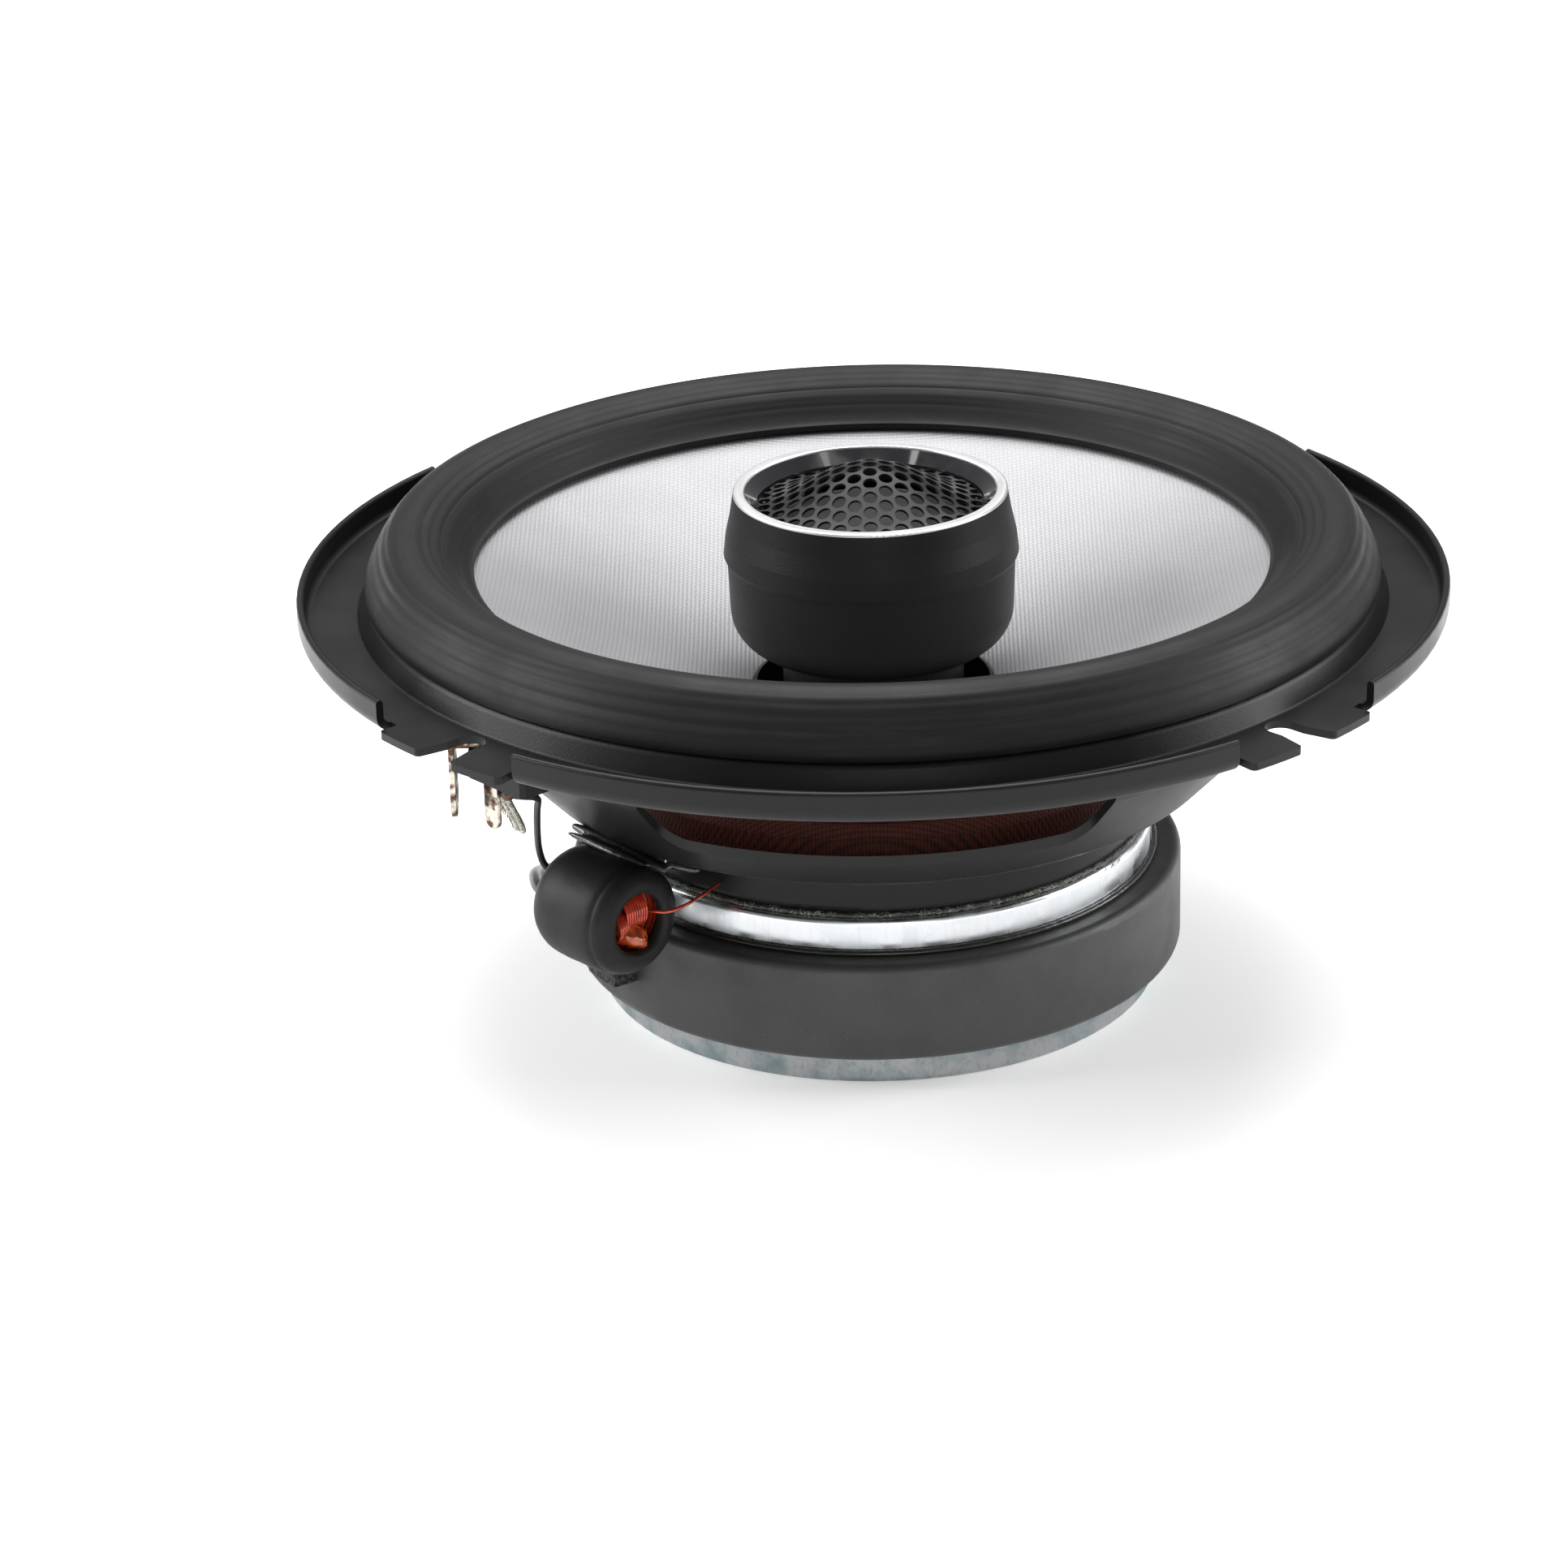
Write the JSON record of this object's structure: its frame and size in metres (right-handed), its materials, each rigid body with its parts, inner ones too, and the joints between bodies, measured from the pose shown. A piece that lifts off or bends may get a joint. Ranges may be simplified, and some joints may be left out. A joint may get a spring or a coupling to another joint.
{
  "type": "coaxial car loudspeaker",
  "caption": "Round coaxial car loudspeaker with pressed steel basket, woven cone, ferrite motor and a dome tweeter on a central post.",
  "frame": {"origin": "centre of the back plate's rear face, which the speaker rests on", "axes": "+Z along the speaker's axis, out of the front; the terminals are in the -X -Y quarter"},
  "size_m": [0.165, 0.165, 0.0781],
  "materials": {
    "zinc_steel": "bright zinc plate",
    "ferrite": "ground satin ferrite",
    "black_adhesive": "glossy black adhesive",
    "painted_steel": "satin black paint",
    "rubber": "matte moulded rubber",
    "spider_cloth": "resin stiffened weave",
    "cone_weave": "metallised glass weave with a soft sheen",
    "former_film": "black film",
    "copper": "enamelled copper wire",
    "pod_plastic": "fine textured black moulding",
    "trim_chrome": "bright plated, lightly brushed",
    "bezel_gloss": "piano black",
    "grille_steel": "black painted perforated steel",
    "neodymium": "nickel plated",
    "dome_cloth": "coated silk",
    "shrink_sleeve": "heat shrunk sleeve",
    "foam": "open cell foam",
    "brass": "brass rivet",
    "tinned_brass": "tinned, brown where bare",
    "solder": "dull solder with flux",
    "lead_insulation": "black insulation",
    "silver_braid": "braided tinsel"
  },
  "bodies": {
    "frame": {"yoke": "zinc_steel", "magnet": "ferrite", "top_plate": "zinc_steel", "yoke_adhesive": "black_adhesive", "magnet_adhesive": "black_adhesive", "plate_adhesive": "black_adhesive", "basket": "painted_steel", "surround_gasket": "black_adhesive", "surround": "rubber", "spider": "spider_cloth", "tweeter_post": "pod_plastic", "post_screw": "zinc_steel", "pod_cup": "pod_plastic", "pod_shell": "pod_plastic", "trim_ring": "trim_chrome", "bezel": "bezel_gloss", "tweeter_grille": "grille_steel", "tweeter_faceplate": "pod_plastic", "tweeter_cup": "zinc_steel", "tweeter_magnet": "neodymium", "tweeter_pole_plate": "zinc_steel", "tweeter_edge": "dome_cloth", "capacitor": "shrink_sleeve", "inductor_sleeve": "shrink_sleeve", "inductor_winding": "copper", "inductor_core": "ferrite", "inductor_adhesive": "black_adhesive", "foam_pad": "foam", "terminal_block": "pod_plastic", "terminal_rivets": "brass", "positive_terminal": "tinned_brass", "negative_terminal": "tinned_brass", "solder_joint": "solder", "input_lead": "lead_insulation", "inductor_lead": "copper", "tweeter_lead": "lead_insulation", "tweeter_inner_lead": "lead_insulation", "tinsel_leads": "silver_braid"},
    "cone_assembly": {"cone": "cone_weave", "voice_coil_former": "former_film", "voice_coil": "copper"},
    "tweeter_diaphragm": {"tweeter_dome": "dome_cloth", "tweeter_coil": "copper"}
  },
  "joints": [
    {"name": "cone_travel", "type": "slide", "parent": "frame", "child": "cone_assembly", "axis": [0, 0, 1], "range_m": [-0.004, 0.004], "stiffness_N_per_m": 2000, "deforming": ["surround", "spider", "tinsel_leads"]},
    {"name": "tweeter_travel", "type": "slide", "parent": "frame", "child": "tweeter_diaphragm", "axis": [0, 0, 1], "range_m": [-0.0003, 0.0003], "stiffness_N_per_m": 1000, "deforming": ["tweeter_edge"]}
  ]
}
